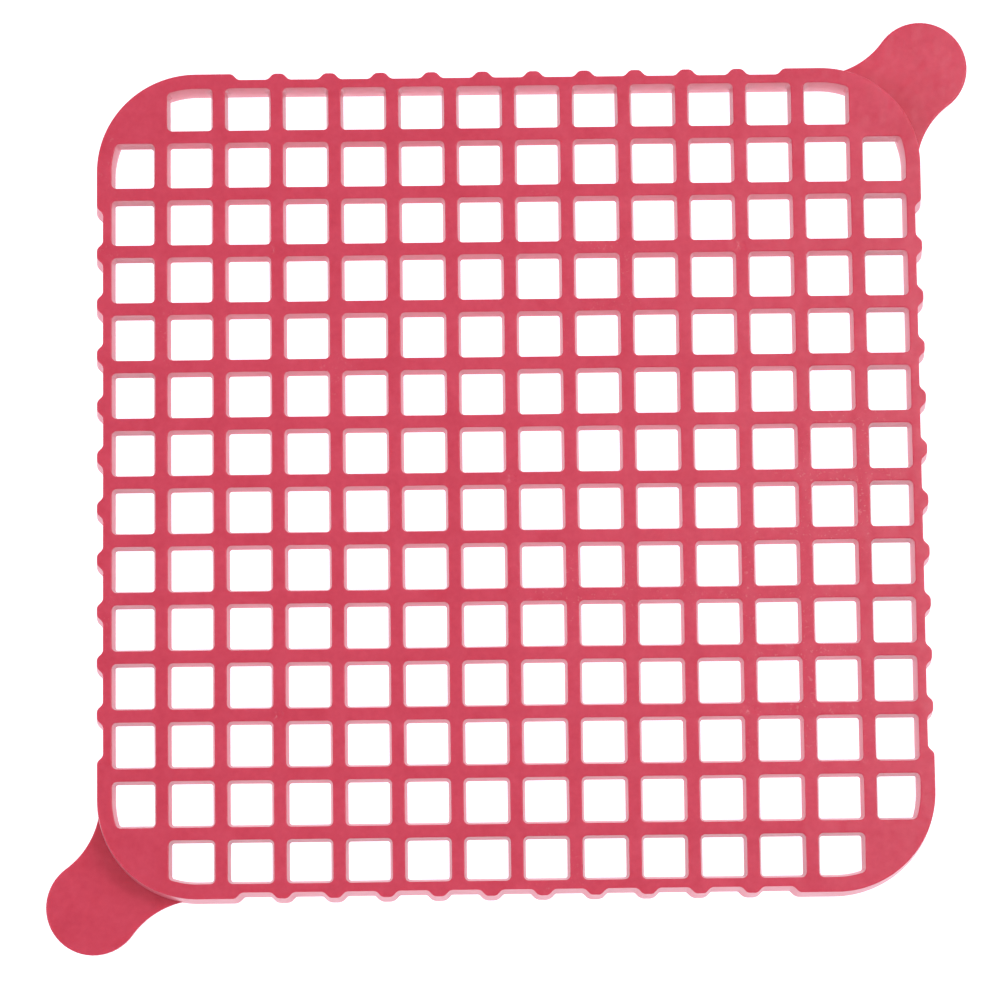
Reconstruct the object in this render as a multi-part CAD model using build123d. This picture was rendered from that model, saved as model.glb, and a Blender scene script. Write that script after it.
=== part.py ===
"""Square feed-saver grid of a trough feeder: a drafted lattice inside a deeper skirt, with two lifting tabs.

The real grid is one plastic moulding. Its members are written here as separate solids that meet face to face:
the bars each way, the four ribbed side walls, the four rounded corners with their webs, and the two tabs.

Frame: millimetres, origin at the middle of the square on the plane of the skirt's foot, +Z up to the face that
the birds peck through, +X to the right along the rows, +Y to the back.
"""

from build123d import *
import os
from math import radians, tan

# Lattice. Widths are those at the top face, and each bar widens downwards by its draft.
CELLS = 14  # along each side; the four corner cells are closed by webs
CELL_PITCH = 20.0
BAR_WIDTH = 4.3
BAR_DEPTH = 6.0
BAR_DRAFT = 8.0  # degrees
CELL_ROUNDING = 1.7  # radius of the openings' corners at the top face

# Skirt
GRID_HEIGHT = 14.0  # foot of the skirt to the top face
WALL_THICKNESS = 3.0  # side wall between its ribs, at the top face
WALL_DRAFT = 5.0  # degrees, outer faces
HOLLOW_DRAFT = 4.0  # degrees, inner faces below the bars
CORNER_RADIUS = 34.0  # outside, at the top face

# Spacer ribs on the outside of each side wall
RIBS_PER_SIDE = 10
RIB_PITCH = 17.65
RIB_STAND = 2.1  # how far the ribs and the corners stand out from the wall
RIB_CREST = 3.4
RIB_FOOT = 7.4
RIB_ROUNDING = 2.2  # radius at the top face, on the crest and beside the foot of a rib

# Corner webs and lifting tabs
WEB_THICKNESS = 3.0
TAB_THICKNESS = 3.0
TAB_RADIUS = 16.3
TAB_STAND = 2.0  # how far a tab's centre stands out from both faces of its corner, at the top

# Worked out from the sizes above
BARS = CELLS - 1
WALL_HALF = CELLS * CELL_PITCH / 2  # outer face between the ribs, at the top
INNER_HALF = WALL_HALF - WALL_THICKNESS  # inner face of a side wall, at the top
OUTER_HALF = WALL_HALF + RIB_STAND  # crests of the ribs and faces of the corners, at the top
CORNER_CENTRE = OUTER_HALF - CORNER_RADIUS  # the outer and inner corners share it
INNER_RADIUS = INNER_HALF - CORNER_CENTRE
BAR_FOOT = GRID_HEIGHT - BAR_DEPTH
LAP = GRID_HEIGHT - BAR_DEPTH / 2  # rows own the crossings above this level, columns below it
BAR_SPREAD = BAR_DEPTH * tan(radians(BAR_DRAFT))
WALL_SPREAD = GRID_HEIGHT * tan(radians(WALL_DRAFT))
CROSSING_HALF = BAR_WIDTH / 2 + CELL_ROUNDING  # half a crossing, with the roundings around it
SIDE_HALF_LENGTH = RIB_PITCH * (RIBS_PER_SIDE + 1) / 2  # a wall ends where one more rib would be centred
MARGIN = 5.0  # how far a cutting solid reaches past what it cuts

BAR_PLACES = [(i - (BARS - 1) / 2) * CELL_PITCH for i in range(BARS)]
CELL_PLACES = [(i - (CELLS - 1) / 2) * CELL_PITCH for i in range(CELLS)]


def box(x_range, y_range, z_range):
    """A box between two limits along each axis."""
    ranges = (x_range, y_range, z_range)
    middle = [(low + high) / 2 for low, high in ranges]
    return Pos(*middle) * Box(*[high - low for low, high in ranges])


def tapered(outline, top, depth, draft):
    """The outline carried down from its top level, shrinking by a positive draft, spreading by a negative one."""
    facing_down = Plane(origin=(0, 0, top), x_dir=(1, 0, 0), z_dir=(0, 0, -1))
    return extrude(facing_down * outline, amount=depth, taper=draft)


def rounded_square(half, radius):
    return RectangleRounded(2 * half, 2 * half, radius)


def ribbed_line():
    """The outer line of the front wall at the top face, from one corner's rounding to the other's."""
    points = [(-CORNER_CENTRE, -OUTER_HALF)]
    for gap in range(RIBS_PER_SIDE + 1):
        left_rib = (gap - (RIBS_PER_SIDE + 1) / 2) * RIB_PITCH
        right_rib = left_rib + RIB_PITCH
        points += [
            (left_rib + RIB_CREST / 2, -OUTER_HALF),
            (left_rib + RIB_FOOT / 2, -WALL_HALF),
            (right_rib - RIB_FOOT / 2, -WALL_HALF),
            (right_rib - RIB_CREST / 2, -OUTER_HALF),
        ]
    points.append((CORNER_CENTRE, -OUTER_HALF))
    return FilletPolyline(*points, radius=RIB_ROUNDING)


def envelope():
    """The outer shape of the skirt, ribs and corners included, as if it were solid."""
    side = ribbed_line()
    corner = CenterArc((CORNER_CENTRE, -CORNER_CENTRE), CORNER_RADIUS, -90, 90)
    quarters = [Rot(0, 0, 90 * turn) for turn in range(4)]
    outline = make_face([edge for turn in quarters for edge in (turn * Curve([side, corner])).edges()])
    return tapered(outline, GRID_HEIGHT, GRID_HEIGHT, -WALL_DRAFT)


def lattice_space():
    """The space that the bars span, inside the walls and over the depth of the bars."""
    return tapered(rounded_square(INNER_HALF, INNER_RADIUS), GRID_HEIGHT, BAR_DEPTH, BAR_DRAFT)


def hollow_space():
    """The space below the bars, inside the skirt."""
    outline = rounded_square(INNER_HALF - BAR_SPREAD, INNER_RADIUS - BAR_SPREAD)
    return tapered(outline, BAR_FOOT, BAR_FOOT, -HOLLOW_DRAFT)


def opening(reach_left=0.0, reach_right=0.0, reach_back=0.0):
    """One drafted opening of the lattice about the origin. A reach carries it on past a side wall."""
    side = CELL_PITCH - BAR_WIDTH
    outline = RectangleRounded(side + reach_left + reach_right, side + reach_back, CELL_ROUNDING)
    hole = tapered(outline, GRID_HEIGHT, BAR_DEPTH, BAR_DRAFT)
    return Pos((reach_right - reach_left) / 2, reach_back / 2, 0) * hole


def bar_blank():
    """A whole bar along X through the origin, with the roundings of every opening beside it."""
    length = INNER_HALF + MARGIN
    blank = box((-length, length), (-CROSSING_HALF, CROSSING_HALF), (BAR_FOOT, GRID_HEIGHT))
    holes = []
    for side in (-CELL_PITCH / 2, CELL_PITCH / 2):
        holes.append(Pos(CELL_PLACES[0], side, 0) * opening(reach_left=CELL_PITCH))
        holes.append(Pos(CELL_PLACES[-1], side, 0) * opening(reach_right=CELL_PITCH))
        holes += [Pos(x, side, 0) * opening() for x in CELL_PLACES[1:-1]]
    return blank - holes


def half_laps(z_range):
    """What a bar along X gives up, above or below the lap, to the bars that cross it."""
    return [box((x - CROSSING_HALF, x + CROSSING_HALF), (-CELL_PITCH, CELL_PITCH), z_range) for x in BAR_PLACES]


def row_bars(blank, space):
    """The bars along X, from front to back. They run unbroken along the top face."""
    bar = blank - half_laps((BAR_FOOT - MARGIN, LAP))
    return [(Pos(0, y, 0) * bar) & space for y in BAR_PLACES]


def column_bars(blank, space):
    """The bars along Y, from left to right. They run unbroken along the underside."""
    bar = Rot(0, 0, 90) * (blank - half_laps((LAP, GRID_HEIGHT + MARGIN)))
    return [(Pos(x, 0, 0) * bar) & space for x in BAR_PLACES]


def front_wall(skirt):
    """The ribbed front wall, up to where one more rib would be centred each way."""
    length = (-SIDE_HALF_LENGTH, SIDE_HALF_LENGTH)
    return skirt & box(length, (-OUTER_HALF - WALL_SPREAD - MARGIN, 0), (0, GRID_HEIGHT))


def back_right_corner(skirt, space):
    """The rounded corner of the skirt, with the web that closes the corner opening flush with the top face."""
    quadrant = (SIDE_HALF_LENGTH, OUTER_HALF + WALL_SPREAD + MARGIN)
    wall = skirt & box(quadrant, quadrant, (0, GRID_HEIGHT))
    corner_opening = Pos(CELL_PLACES[-1], CELL_PLACES[-1], 0) * opening(
        reach_right=CELL_PITCH, reach_back=CELL_PITCH
    )
    web_levels = box(quadrant, quadrant, (GRID_HEIGHT - WEB_THICKNESS, GRID_HEIGHT))
    return wall + (corner_opening & space & web_levels)


def back_right_tab(solid_skirt):
    """The round lifting tab. Its flares leave the two side faces where the corner's rounding starts."""
    tab_centre = OUTER_HALF + TAB_STAND
    reach = CORNER_RADIUS + TAB_STAND
    flare_radius = (reach**2 + TAB_STAND**2 - TAB_RADIUS**2) / (2 * (TAB_RADIUS + TAB_STAND))
    flare_centre = OUTER_HALF + flare_radius
    root = Polygon(
        (CORNER_CENTRE, CORNER_CENTRE),
        (flare_centre, CORNER_CENTRE),
        (tab_centre, tab_centre),
        (CORNER_CENTRE, flare_centre),
        align=None,
    )
    root -= Pos(CORNER_CENTRE, flare_centre) * Circle(flare_radius)
    root -= Pos(flare_centre, CORNER_CENTRE) * Circle(flare_radius)
    outline = root + Pos(tab_centre, tab_centre) * Circle(TAB_RADIUS)
    return extrude(outline, amount=TAB_THICKNESS) - solid_skirt


def make_nodes():
    """Every named member of the grid."""
    space = lattice_space()
    solid_skirt = envelope()
    skirt = solid_skirt - [space, hollow_space()]
    blank = bar_blank()
    nodes = {}
    for i, bar in enumerate(row_bars(blank, space), start=1):
        nodes[f"row_bar_{i:02d}"] = bar
    for i, bar in enumerate(column_bars(blank, space), start=1):
        nodes[f"column_bar_{i:02d}"] = bar
    wall = front_wall(skirt)
    for turn, side in enumerate(("front", "right", "back", "left")):
        nodes[f"side_wall_{side}"] = Rot(0, 0, 90 * turn) * wall
    corner = back_right_corner(skirt, space)
    for turn, place in enumerate(("back_right", "back_left", "front_left", "front_right")):
        nodes[f"corner_{place}"] = Rot(0, 0, 90 * turn) * corner
    tab = back_right_tab(solid_skirt)
    nodes["lift_tab_back_right"] = tab
    nodes["lift_tab_front_left"] = Rot(0, 0, 180) * tab
    return nodes


os.makedirs("parts", exist_ok=True)
for name, solid in make_nodes().items():
    export_step(solid, f"parts/{name}.step")
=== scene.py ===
"""Looks of the feed-saver grid: one mesh for the lattice and its skirt, and one for each lifting tab."""
import math
import bmesh
import bpy
from mathutils import Matrix, Vector, geometry, noise


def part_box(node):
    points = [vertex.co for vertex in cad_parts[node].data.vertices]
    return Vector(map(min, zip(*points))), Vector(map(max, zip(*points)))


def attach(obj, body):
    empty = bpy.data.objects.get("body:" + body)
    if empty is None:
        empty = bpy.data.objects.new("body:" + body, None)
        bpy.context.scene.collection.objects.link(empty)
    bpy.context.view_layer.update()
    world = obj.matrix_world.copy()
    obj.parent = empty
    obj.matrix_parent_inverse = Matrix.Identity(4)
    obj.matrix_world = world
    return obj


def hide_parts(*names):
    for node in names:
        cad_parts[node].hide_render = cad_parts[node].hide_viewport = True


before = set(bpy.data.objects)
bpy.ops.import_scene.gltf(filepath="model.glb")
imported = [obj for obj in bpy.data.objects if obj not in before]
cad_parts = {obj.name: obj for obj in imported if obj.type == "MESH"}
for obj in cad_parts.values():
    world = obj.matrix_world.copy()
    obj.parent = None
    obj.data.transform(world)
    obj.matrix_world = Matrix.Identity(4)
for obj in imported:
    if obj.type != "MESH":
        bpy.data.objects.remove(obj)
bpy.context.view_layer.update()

MM = 0.001


def corner_mm(node, end):
    """The lowest (0) or highest (1) corner of a CAD node, in millimetres."""
    return Vector(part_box(node)[end]) / MM


# Places and sizes held by the frame, in millimetres
TOP = corner_mm("row_bar_07", 1).z
BAR_FOOT = corner_mm("column_bar_07", 0).z
PITCH = corner_mm("row_bar_08", 1).y - corner_mm("row_bar_07", 1).y
INNER_HALF = corner_mm("row_bar_07", 1).x
TAB_TOP = corner_mm("lift_tab_back_right", 1).z
TAB_REACH = corner_mm("lift_tab_back_right", 1).x

# Sizes of the moulding that a box can't tell, in millimetres and degrees
CELLS = 14
BAR_WIDTH = 4.3
BAR_DRAFT = 8.0
CELL_ROUNDING = 1.7
WALL_HALF = CELLS * PITCH / 2
WALL_DRAFT = 5.0
HOLLOW_DRAFT = 4.0
RIBS_PER_SIDE = 10
RIB_PITCH = 17.65
RIB_STAND = 2.1
RIB_CREST = 3.4
RIB_FOOT = 7.4
RIB_ROUNDING = 2.2
OUTER_HALF = WALL_HALF + RIB_STAND
CORNER_RADIUS = 34.0
CORNER_CENTRE = OUTER_HALF - CORNER_RADIUS
INNER_RADIUS = INNER_HALF - CORNER_CENTRE
WEB_THICKNESS = 3.0
TAB_RADIUS = 16.3
TAB_CENTRE = TAB_REACH - TAB_RADIUS
BAR_SPREAD = (TOP - BAR_FOOT) * math.tan(math.radians(BAR_DRAFT))

# Finish of the moulding
TOP_ROUNDING = 0.40  # on the edges of the top face
FOOT_ROUNDING = 0.30  # on the edges of the bars' underside and of the foot
ROUND_STEPS = 4
SMALL_ARC_STEPS = 5
LARGE_ARC_STEPS = 32
SIDE_STEP = 4.0  # straight sides are split about this often
PIN_CROSSINGS = [(-4, -4), (-4, 4), (4, -4), (4, 4), (0, 0)]  # counted from the middle, columns then rows
PIN_RADIUS = 1.4
PIN_FLOOR_SHARE = 0.86  # radius of a pin mark's floor, as a share of its rim's
PIN_DEPTH = 0.12
PIN_STEPS = 24
POCKET_INSET = 0.6  # of the space under a corner web, from the bars' and walls' feet
POCKET_ROUNDING = 0.8
POCKET_LEAN = 4.0  # degrees round the corner by which the pocket's outer arc starts late
TAB_ROUNDING = 0.6
TAB_BURIED = 1.5  # how far a tab's back reaches into the skirt
TAB_LIFT = 0.05  # underside of a tab above the foot's plane
SAME_POINT = 0.01  # points nearer than this are one point, in millimetres
WARP = 0.12  # how far the moulding strays from true, in millimetres
WARP_LENGTH = 55.0
WARP_START = (3.1, 7.7, 1.3)  # where in the noise the moulding lies
WARP_SEED = 8
FLAT_WEIGHT = 60  # how far the large flat faces lead the shading of those beside them

# Finish of the plastic and the floor (scene-linear colours; noise scales are per metre)
RED_DEEP = (0.66, 0.040, 0.089)
RED_PALE = (0.73, 0.062, 0.122)
SCUFF_PINK = (0.80, 0.30, 0.34)
SCUFF_SHARE = 0.35
CLOUD_SCALE = 45.0
CLOUD_SWIRL = 1.4
MOTTLE_SCALE = 420.0
WORN_SCALE = 14.0
NICK_SCALE = 900.0
SINK_SCALE = 150.0
SINK_DEPTH = 0.0006
GRAIN_SCALE = 2600.0
GRAIN_DEPTH = 0.00006
ROUGHNESS_LOW, ROUGHNESS_HIGH = 0.26, 0.34
SCATTER_SHARE = 0.35
SCATTER_LENGTHS = (1.0, 0.35, 0.3)  # red travels farthest
SCATTER_SCALE = 0.0025
PLASTIC_IOR = 1.49
SHEEN_SHARE = 0.25
SHEEN_ROUGHNESS = 0.35
SHEEN_TINT = (1.0, 0.80, 0.90)
FLOOR_HALF = 3.0  # metres
FLOOR_GREY = 0.10
FLOOR_TINT = (1.0, 0.97, 1.06)  # too bright to show as a tint, but it does in what the walls reflect
FLOOR_GLOW = 1.26

# Light and camera (metres, watts and degrees). Each light is a square: place, side and power.
WORLD_STRENGTH = 0.54
KEY_LIGHT = ((2.6, 2.9, 4.4), 3.0, 31.0)
FILL_LIGHT = ((-4.0, -0.4, 4.2), 2.4, 52.0)
GLEAM_LIGHT = ((0.72, 0.20, 1.5), 0.6, 6.6)  # pales the top face towards the right
CAMERA_LENS = 149.32
CAMERA_PLACE = (-0.01394, -0.17940, 1.42047)
CAMERA_TARGET = (-0.00437, -0.00717, 0.012)
CAMERA_ROLL = -0.683


# ---------------------------------------------------------------- outlines

def offset_corners(corners, amount):
    """The corners of a closed anticlockwise outline after every side has moved outwards by an amount."""
    moved = []
    count = len(corners)
    for i, here in enumerate(corners):
        into = (here - corners[i - 1]).normalized()
        out = (corners[(i + 1) % count] - here).normalized()
        normal_in, normal_out = Vector((into.y, -into.x)), Vector((out.y, -out.x))
        bisector = normal_in + normal_out
        moved.append(here + bisector * (2 * amount / bisector.length_squared))
    return moved


def corner_arc(before, here, after, radius, amount, steps):
    """Points round one corner of an outline that has been moved outwards by an amount."""
    into, out = (here - before).normalized(), (after - here).normalized()
    turn = math.atan2(into.cross(out), into.dot(out))
    radius += amount * math.copysign(1, turn)
    start = here - into * (radius * math.tan(abs(turn) / 2))
    centre = start + Vector((-into.y, into.x)) * math.copysign(radius, turn)
    return [arc_point(centre, start - centre, turn * step / steps) for step in range(steps + 1)]


def arc_point(centre, arm, angle):
    """The end of an arm that has turned about a centre."""
    cosine, sine = math.cos(angle), math.sin(angle)
    return centre + Vector((arm.x * cosine - arm.y * sine, arm.x * sine + arm.y * cosine))


def arc_steps(radius):
    return LARGE_ARC_STEPS if radius > INNER_RADIUS / 2 else SMALL_ARC_STEPS


def side_splits(outline, corner):
    """How many steps the side after a corner is split into. It doesn't depend on any offset."""
    here, there = Vector(outline[corner][:2]), Vector(outline[(corner + 1) % len(outline)][:2])
    return max(1, round((there - here).length / SIDE_STEP))


def rounded(outline, amount=0.0):
    """Points round an outline of (x, y, radius) corners, moved outwards by an amount.

    The count of points doesn't depend on the amount, so loops of one outline can be bridged.
    """
    moved = offset_corners([Vector(corner[:2]) for corner in outline], amount)
    count = len(outline)
    arcs = [
        corner_arc(moved[i - 1], moved[i], moved[(i + 1) % count], radius, amount, arc_steps(radius))
        for i, (_, _, radius) in enumerate(outline)
    ]
    points = []
    for i, arc in enumerate(arcs):
        splits = side_splits(outline, i)
        points += arc
        points += [arc[-1].lerp(arcs[(i + 1) % count][0], split / splits) for split in range(1, splits)]
    return points


def wall_stretch(outline):
    """Where, among its rounded points, an edge opening's stretch along the side wall starts and stops.

    It runs from the second corner's rounding to the last but one's.
    """
    starts = [0]
    for i, (_, _, radius) in enumerate(outline):
        starts.append(starts[-1] + arc_steps(radius) + side_splits(outline, i))
    return starts[1] + arc_steps(outline[1][2]), starts[len(outline) - 2] + 1


def turned(outline, turns):
    """An outline turned about the origin by quarter turns."""
    for _ in range(turns % 4):
        outline = [(-y, x, r) for x, y, r in outline]
    return outline


def skirt_outline():
    """The ribbed outer outline of the skirt at the top face."""
    side = []
    for gap in range(RIBS_PER_SIDE + 1):
        left = (gap - (RIBS_PER_SIDE + 1) / 2) * RIB_PITCH
        right = left + RIB_PITCH
        side += [
            (left + RIB_CREST / 2, -OUTER_HALF, RIB_ROUNDING),
            (left + RIB_FOOT / 2, -WALL_HALF, RIB_ROUNDING),
            (right - RIB_FOOT / 2, -WALL_HALF, RIB_ROUNDING),
            (right - RIB_CREST / 2, -OUTER_HALF, RIB_ROUNDING),
        ]
    side.append((OUTER_HALF, -OUTER_HALF, CORNER_RADIUS))
    return [corner for turns in range(4) for corner in turned(side, turns)]


def cell(column, row):
    """An opening's outline at the top face. On the right it is trimmed by the side wall."""
    half = (PITCH - BAR_WIDTH) / 2
    x, y = (column - (CELLS - 1) / 2) * PITCH, (row - (CELLS - 1) / 2) * PITCH
    right = min(x + half, INNER_HALF)
    corners = ((x - half, y - half), (right, y - half), (right, y + half), (x - half, y + half))
    return [(*corner, CELL_ROUNDING) for corner in corners]


def trimmed_cell():
    """The last opening before the back right corner on the right wall. Its outer side follows the corner."""
    near_front, far_front, far_back, near_back = cell(CELLS - 1, CELLS - 2)
    back = far_back[1]
    angle = math.asin((back - CELL_ROUNDING - CORNER_CENTRE) / INNER_RADIUS)
    elbow = CORNER_CENTRE + INNER_RADIUS * math.tan(angle / 2)
    end = CORNER_CENTRE + INNER_RADIUS * math.cos(angle) - CELL_ROUNDING * math.tan(angle)
    return [near_front, far_front, (INNER_HALF, elbow, INNER_RADIUS), (end, back, CELL_ROUNDING), near_back]


def flipped(outline):
    """An outline mirrored front to back, still anticlockwise."""
    return [(x, -y, radius) for x, y, radius in reversed(outline)]


def edge_cells():
    """The openings along the right wall, from front to back."""
    last = trimmed_cell()
    return [flipped(last), *[cell(CELLS - 1, row) for row in range(2, CELLS - 2)], last]


def inner_cells():
    return [cell(column, row) for column in range(1, CELLS - 1) for row in range(1, CELLS - 1)]


def corner_pocket():
    """The outline of the space under the web of the back right corner."""
    inset = BAR_SPREAD + POCKET_INSET
    near = WALL_HALF - PITCH + BAR_WIDTH / 2 + inset
    radius = INNER_RADIUS - inset
    angle = math.asin((near - CORNER_CENTRE) / radius) + math.radians(POCKET_LEAN)
    start = CORNER_CENTRE + radius / math.cos(angle) - (near - CORNER_CENTRE) * math.tan(angle)
    elbow = CORNER_CENTRE + radius / (math.cos(math.pi / 4 - angle) * math.sqrt(2))
    return [
        (near, near, POCKET_ROUNDING),
        (start, near, POCKET_ROUNDING),
        (elbow, elbow, radius),
        (near, start, POCKET_ROUNDING),
    ]


# ---------------------------------------------------------------- meshes

def rounding(level, offset, radius, upper):
    """(level, offset) pairs round an edge, from the flat face to the wall. Offsets are outwards on a solid."""
    pairs = []
    for step in range(ROUND_STEPS + 1):
        angle = math.pi / 2 * step / ROUND_STEPS
        drop = radius * (1 - math.cos(angle))
        pairs.append((level - drop if upper else level + drop, offset - radius * (1 - math.sin(angle))))
    return pairs


class Shell:
    """A closed mesh made of bridged loops and flat faces, in millimetres until it is finished."""

    def __init__(self):
        self.bm = bmesh.new()

    def loop(self, points, level):
        return [self.bm.verts.new((p.x, p.y, level)) for p in points]

    def bridge(self, upper, lower, flip=False):
        """Quads between two loops of as many points. They face outwards from the outline unless flipped."""
        count = len(upper)
        for i in range(count):
            j = (i + 1) % count
            quad = [upper[i], lower[i], lower[j], upper[j]]
            self.bm.faces.new(reversed(quad) if flip else quad)

    def wall(self, outline, pairs, flip=False):
        """Bridged loops of one outline at (level, offset) pairs, from the top down. Gives the end loops."""
        loops = [self.loop(rounded(outline, offset), level) for level, offset in pairs]
        for upper, lower in zip(loops, loops[1:]):
            self.bridge(upper, lower, flip)
        return loops[0], loops[-1]

    def flat(self, outer, holes, facing_up):
        """A flat face inside the outer loop, less the holes. Loops may share points."""
        loops = [outer, *holes]
        owners = {}
        for number, loop in enumerate(loops):
            for vert in loop:
                owners.setdefault(vert, set()).add(number)
        verts = list(owners)
        index = {vert: i for i, vert in enumerate(verts)}
        edges = {
            tuple(sorted((index[loop[i - 1]], index[loop[i]]))) for loop in loops for i in range(len(loop))
        }
        flat_points = [vert.co.to_2d() for vert in verts]
        _, _, faces, origins, _, _ = geometry.delaunay_2d_cdt(flat_points, sorted(edges), [], 1, 1e-5)
        for face in faces:
            corners = [verts[origins[i][0]] for i in face]
            shared = set.intersection(*[owners[vert] for vert in corners])
            if shared <= {0}:  # a triangle with all its corners on one hole lies inside the hole
                self.bm.faces.new(corners if facing_up else reversed(corners))

    def finished(self, name):
        """The mesh as an object in metres, slightly out of true as mouldings are."""
        for vert in self.bm.verts:
            vert.co = (vert.co + warp(vert.co)) * MM
        bmesh.ops.recalc_face_normals(self.bm, faces=self.bm.faces)
        mesh = bpy.data.meshes.new(name)
        self.bm.to_mesh(mesh)
        self.bm.free()
        mesh.shade_smooth()
        piece = bpy.data.objects.new(name, mesh)
        bpy.context.scene.collection.objects.link(piece)
        flats_lead = piece.modifiers.new("flats lead the shading", "WEIGHTED_NORMAL")
        flats_lead.weight = FLAT_WEIGHT
        return piece


def warp(place):
    """How far a point of the moulding strays sideways. Its levels stay true."""
    near = Vector((place.x, place.y, 0)) / WARP_LENGTH
    stray = noise.noise_vector(near + Vector(WARP_START)) * WARP
    stray.z = 0
    return stray


def hollow_outwards(point):
    """The direction out of the skirt's hollow at a point on its edge."""
    over = [math.copysign(max(abs(part) - CORNER_CENTRE, 0), part) for part in point[:2]]
    return Vector((*over, 0)).normalized()


def hollow_edge(shell, edge_feet):
    """The loop at the top of the hollow: along each edge opening's foot, then round the corner."""
    radius = INNER_RADIUS - BAR_SPREAD
    loop = []
    for turns in range(4):
        for outline, foot in edge_feet[turns]:
            start, stop = wall_stretch(outline)
            loop += foot[start:stop]
        next_outline, next_foot = edge_feet[(turns + 1) % 4][0]
        end = next_foot[wall_stretch(next_outline)[0]].co.to_2d()
        centre = Vector(turned([(CORNER_CENTRE, CORNER_CENTRE, 0)], turns)[0][:2])
        arm = (loop[-1].co.to_2d() - centre).normalized() * radius
        turn = -arm.angle_signed(end - centre)
        points = [arc_point(centre, arm, turn * step / LARGE_ARC_STEPS) for step in range(1, LARGE_ARC_STEPS)]
        loop += shell.loop(points, BAR_FOOT)
    return loop


def grid_mesh():
    """The lattice and its skirt."""
    shell = Shell()
    spread = TOP * math.tan(math.radians(WALL_DRAFT))
    outer_pairs = rounding(TOP, 0, TOP_ROUNDING, True)
    outer_pairs += reversed(rounding(0, spread, FOOT_ROUNDING, False))
    outer_top, outer_foot = shell.wall(skirt_outline(), outer_pairs)

    # openings: offsets are turned over, because a hole's walls lie inside its outline
    rim_pairs = [(level, -offset) for level, offset in rounding(TOP, 0, TOP_ROUNDING, True)]
    bar_feet = rounding(BAR_FOOT, 0, FOOT_ROUNDING, False)
    foot_pairs = [(level, -offset - BAR_SPREAD) for level, offset in bar_feet]
    inner = [shell.wall(outline, rim_pairs + foot_pairs[::-1], flip=True) for outline in inner_cells()]
    tops = [top for top, _ in inner]
    feet = [foot for _, foot in inner]
    edge_feet = []
    for turns in range(4):
        edge_feet.append([])
        for outline in edge_cells():
            outline = turned(outline, turns)
            top, foot = shell.wall(outline, [*rim_pairs, (BAR_FOOT, -BAR_SPREAD)], flip=True)
            tops.append(top)
            feet.append(foot)
            edge_feet[turns].append((outline, foot))
        pocket_top, pocket_foot = shell.wall(
            turned(corner_pocket(), turns), [(TOP - WEB_THICKNESS, 0), (BAR_FOOT, 0)], flip=True
        )
        shell.flat(pocket_top, [], facing_up=False)
        feet.append(pocket_foot)

    # the hollow inside the skirt
    upper = ceiling = hollow_edge(shell, edge_feet)
    widening = BAR_FOOT * math.tan(math.radians(HOLLOW_DRAFT))
    for level, offset in reversed(rounding(0, 0, FOOT_ROUNDING, False)):
        out = widening - offset
        lower = [shell.bm.verts.new((v.co + hollow_outwards(v.co) * out).to_2d().to_3d()) for v in ceiling]
        for vert in lower:
            vert.co.z = level
        shell.bridge(upper, lower, flip=True)
        upper = lower
    shell.flat(ceiling, feet, facing_up=False)
    shell.flat(outer_foot, [upper], facing_up=False)
    shell.flat(outer_top, [*tops, *pin_marks(shell)], facing_up=True)
    return shell.finished("grid_moulding")


def pin_marks(shell):
    """Shallow round marks left in the top face by the mould's pins. Gives their rims."""
    rims = []
    for column, row in PIN_CROSSINGS:
        centre = Vector((column * PITCH, row * PITCH))
        arm = Vector((PIN_RADIUS, 0))
        ring = [arc_point(centre, arm, math.tau * step / PIN_STEPS) for step in range(PIN_STEPS)]
        rim = shell.loop(ring, TOP)
        inner = shell.loop([centre.lerp(point, PIN_FLOOR_SHARE) for point in ring], TOP - PIN_DEPTH)
        shell.bridge(rim, inner, flip=True)
        shell.flat(inner, [], facing_up=True)
        rims.append(rim)
    return rims


def tab_loop(amount=0.0):
    """Points round the back right tab, moved outwards by an amount.

    They run along a flare, the round end and the other flare, then back along a line buried in the skirt.
    """
    reach, stand = TAB_CENTRE - CORNER_CENTRE, TAB_CENTRE - OUTER_HALF
    flare_radius = (reach**2 + stand**2 - TAB_RADIUS**2) / (2 * (TAB_RADIUS + stand))
    lean = math.atan2(flare_radius - stand, reach)  # slope from the round end's centre to the upper flare's
    near, far = CORNER_CENTRE, OUTER_HALF + flare_radius
    arcs = [
        ((far, near), flare_radius - amount, math.pi, math.pi / 2 + lean),
        ((TAB_CENTRE, TAB_CENTRE), TAB_RADIUS + amount, lean - math.pi / 2, math.pi - lean),
        ((near, far), flare_radius - amount, -lean, -math.pi / 2),
        ((near, near), CORNER_RADIUS - TAB_BURIED, math.pi / 2, 0),
    ]
    points = []
    for centre, radius, start, end in arcs:
        arm = Vector((math.cos(start), math.sin(start))) * radius
        turns = [(end - start) * step / LARGE_ARC_STEPS for step in range(LARGE_ARC_STEPS + 1)]
        points += [arc_point(Vector(centre), arm, turn) for turn in turns]
    return [point for i, point in enumerate(points) if (point - points[i - 1]).length > SAME_POINT]


def tab_mesh(name, turns):
    """One lifting tab. Its back is buried in the skirt's wall."""
    shell = Shell()
    pairs = rounding(TAB_TOP, 0, TAB_ROUNDING, True) + rounding(TAB_LIFT, 0, TAB_ROUNDING, False)[::-1]
    loops = [shell.loop(tab_loop(offset), level) for level, offset in pairs]
    for upper, lower in zip(loops, loops[1:]):
        shell.bridge(upper, lower)
    shell.flat(loops[0], [], facing_up=True)
    shell.flat(loops[-1], [], facing_up=False)
    for vert in shell.bm.verts:
        for _ in range(turns):
            vert.co = Vector((-vert.co.y, vert.co.x, vert.co.z))
    return shell.finished(name)


# ---------------------------------------------------------------- materials

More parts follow.
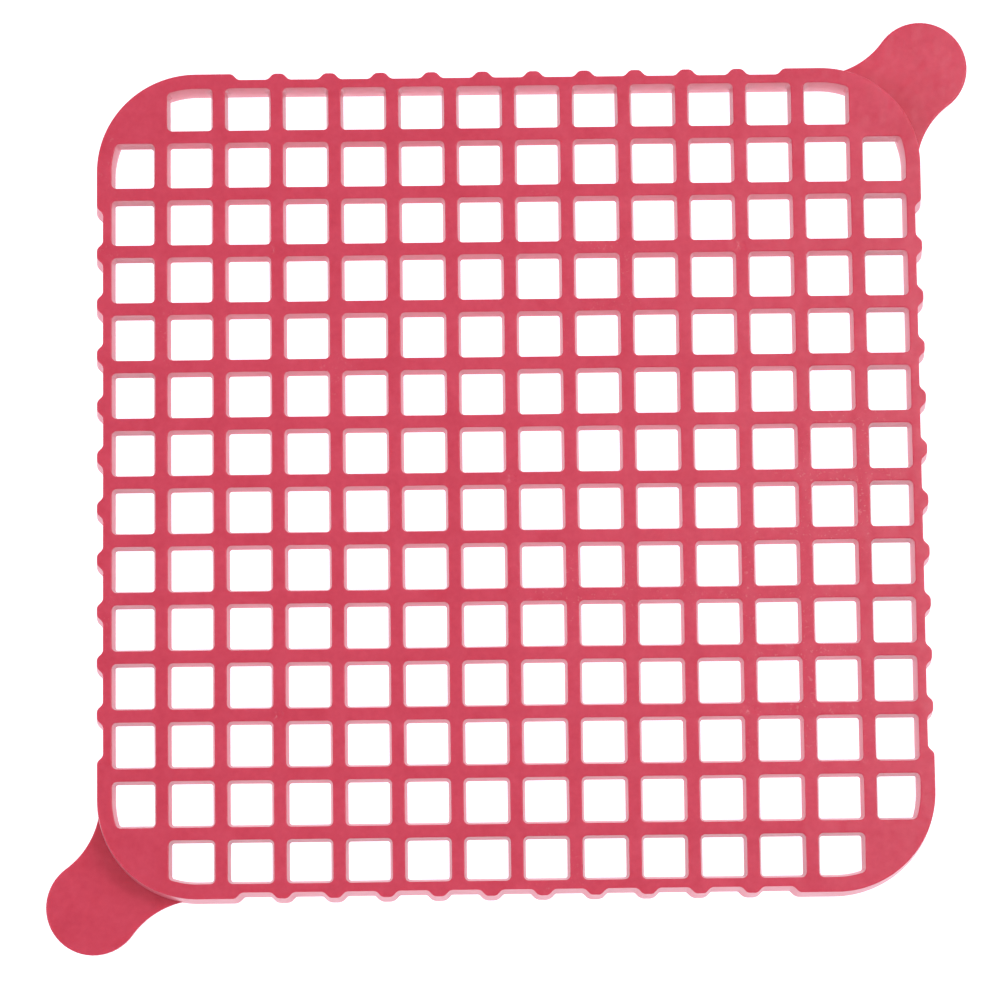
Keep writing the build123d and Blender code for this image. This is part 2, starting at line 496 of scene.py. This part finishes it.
def new_material(name):
    """A node material with its shader node and a function that adds and wires nodes."""
    material = bpy.data.materials.new(name)
    material.use_nodes = True
    tree = material.node_tree
    shader = tree.nodes["Principled BSDF"]

    def add(kind, inputs=None, **settings):
        node = tree.nodes.new(kind)
        for key, value in settings.items():
            setattr(node, key, value)
        for key, value in (inputs or {}).items():
            if isinstance(value, bpy.types.NodeSocket):
                tree.links.new(value, node.inputs[key])
            else:
                node.inputs[key].default_value = value
        return node

    return material, tree, shader, add


def red_plastic():
    """Satin, slightly translucent polypropylene, with faint clouding, a few scuffs and a fine grain."""
    material, tree, shader, add = new_material("red_polypropylene")
    place = add("ShaderNodeTexCoord").outputs["Object"]

    def noise_texture(scale, detail, roughness=0.5, swirl=0.0):
        inputs = {"Scale": scale, "Detail": detail, "Roughness": roughness, "Distortion": swirl}
        return add("ShaderNodeTexNoise", {"Vector": place, **inputs})

    clouds = noise_texture(CLOUD_SCALE, 2.0, 0.5, CLOUD_SWIRL)
    mottle = noise_texture(MOTTLE_SCALE, 2.0, 0.6)
    mixed = add("ShaderNodeMath", {0: clouds.outputs["Fac"], 1: mottle.outputs["Fac"]}, operation="ADD")
    tones = add("ShaderNodeMapRange", {"Value": mixed.outputs[0], "From Min": 0.65, "From Max": 1.35})
    base = add("ShaderNodeMix", {"Factor": tones.outputs[0]}, data_type="RGBA")
    base.inputs["A"].default_value = (*RED_DEEP, 1)
    base.inputs["B"].default_value = (*RED_PALE, 1)
    worn = noise_texture(WORN_SCALE, 1.0)
    worn_mask = add("ShaderNodeMapRange", {"Value": worn.outputs["Fac"], "From Min": 0.60, "From Max": 0.70})
    nicks = noise_texture(NICK_SCALE, 2.0, 0.6)
    nick_mask = add("ShaderNodeMapRange", {"Value": nicks.outputs["Fac"], "From Min": 0.62, "From Max": 0.70})
    scuffs = add("ShaderNodeMath", {0: worn_mask.outputs[0], 1: nick_mask.outputs[0]}, operation="MULTIPLY")
    scuff_share = add("ShaderNodeMath", {0: scuffs.outputs[0], 1: SCUFF_SHARE}, operation="MULTIPLY")
    colour = add("ShaderNodeMix", {"Factor": scuff_share.outputs[0]}, data_type="RGBA")
    tree.links.new(base.outputs["Result"], colour.inputs["A"])
    colour.inputs["B"].default_value = (*SCUFF_PINK, 1)
    tree.links.new(colour.outputs["Result"], shader.inputs["Base Color"])
    roughness_range = {"To Min": ROUGHNESS_LOW, "To Max": ROUGHNESS_HIGH}
    roughness = add("ShaderNodeMapRange", {"Value": clouds.outputs["Fac"], **roughness_range})
    tree.links.new(roughness.outputs[0], shader.inputs["Roughness"])
    grain = noise_texture(GRAIN_SCALE, 2.0)
    sinks = noise_texture(SINK_SCALE, 1.0)
    fine = add("ShaderNodeBump", {"Height": grain.outputs["Fac"], "Strength": 0.12, "Distance": GRAIN_DEPTH})
    broad = add("ShaderNodeBump", {"Height": sinks.outputs["Fac"], "Strength": 0.35, "Distance": SINK_DEPTH})
    tree.links.new(fine.outputs["Normal"], broad.inputs["Normal"])
    tree.links.new(broad.outputs["Normal"], shader.inputs["Normal"])
    shader.inputs["Subsurface Weight"].default_value = SCATTER_SHARE
    shader.inputs["Subsurface Radius"].default_value = SCATTER_LENGTHS
    shader.inputs["Subsurface Scale"].default_value = SCATTER_SCALE
    shader.inputs["IOR"].default_value = PLASTIC_IOR
    shader.inputs["Sheen Weight"].default_value = SHEEN_SHARE
    shader.inputs["Sheen Roughness"].default_value = SHEEN_ROUGHNESS
    shader.inputs["Sheen Tint"].default_value = (*SHEEN_TINT, 1)
    return material


def white_floor():
    """A bright, even white sweep, as on a light table."""
    material, _, shader, _ = new_material("white_floor")
    shader.inputs["Base Color"].default_value = (FLOOR_GREY, FLOOR_GREY, FLOOR_GREY, 1)
    shader.inputs["Roughness"].default_value = 0.9
    shader.inputs["Specular IOR Level"].default_value = 0.1
    shader.inputs["Emission Color"].default_value = (*FLOOR_TINT, 1)
    shader.inputs["Emission Strength"].default_value = FLOOR_GLOW
    return material


# ---------------------------------------------------------------- stage

def add_floor():
    corners = [(x * FLOOR_HALF, y * FLOOR_HALF, 0) for x, y in ((-1, -1), (1, -1), (1, 1), (-1, 1))]
    mesh = bpy.data.meshes.new("floor")
    mesh.from_pydata(corners, [], [(0, 1, 2, 3)])
    floor = bpy.data.objects.new("floor", mesh)
    bpy.context.scene.collection.objects.link(floor)
    mesh.materials.append(white_floor())


def add_area_light(name, place, size, watts):
    """A square light aimed at the middle of the grid's foot."""
    data = bpy.data.lights.new(name, "AREA")
    data.size = size
    data.energy = watts
    light = bpy.data.objects.new(name, data)
    light.location = place
    light.rotation_euler = (-Vector(place)).to_track_quat("-Z", "Y").to_euler()
    bpy.context.scene.collection.objects.link(light)


def add_lights():
    add_area_light("key", *KEY_LIGHT)
    add_area_light("fill", *FILL_LIGHT)
    add_area_light("gleam", *GLEAM_LIGHT)
    world = bpy.data.worlds.new("studio")
    world.use_nodes = True
    world.node_tree.nodes["Background"].inputs["Color"].default_value = (1, 1, 1, 1)
    world.node_tree.nodes["Background"].inputs["Strength"].default_value = WORLD_STRENGTH
    bpy.context.scene.world = world


def add_camera():
    data = bpy.data.cameras.new("camera")
    data.lens = CAMERA_LENS
    data.clip_start, data.clip_end = 0.05, 20
    camera = bpy.data.objects.new("camera", data)
    ahead = (Vector(CAMERA_TARGET) - Vector(CAMERA_PLACE)).normalized()
    right = ahead.cross(Vector((0, 1, 0))).normalized()
    facing = Matrix((right, right.cross(ahead), -ahead)).transposed()
    roll = Matrix.Rotation(math.radians(CAMERA_ROLL), 3, "Z")
    camera.matrix_world = Matrix.Translation(CAMERA_PLACE) @ (facing @ roll).to_4x4()
    bpy.context.scene.collection.objects.link(camera)
    bpy.context.scene.camera = camera


# ---------------------------------------------------------------- the object

def dress(piece, material, *nodes):
    """Gives a piece its finish, and puts it on the one body in place of the CAD nodes it stands for."""
    piece.data.materials.append(material)
    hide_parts(*nodes)
    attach(piece, "root")


bpy.context.scene.view_settings.view_transform = "Standard"
noise.seed_set(WARP_SEED)  # unseeded, the noise would differ from run to run
plastic = red_plastic()
tabs = {"lift_tab_back_right": 0, "lift_tab_front_left": 2}
dress(grid_mesh(), plastic, *[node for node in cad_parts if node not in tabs])
for tab, turns in tabs.items():
    dress(tab_mesh(f"{tab}_moulding", turns), plastic, tab)
add_floor()
add_lights()
add_camera()
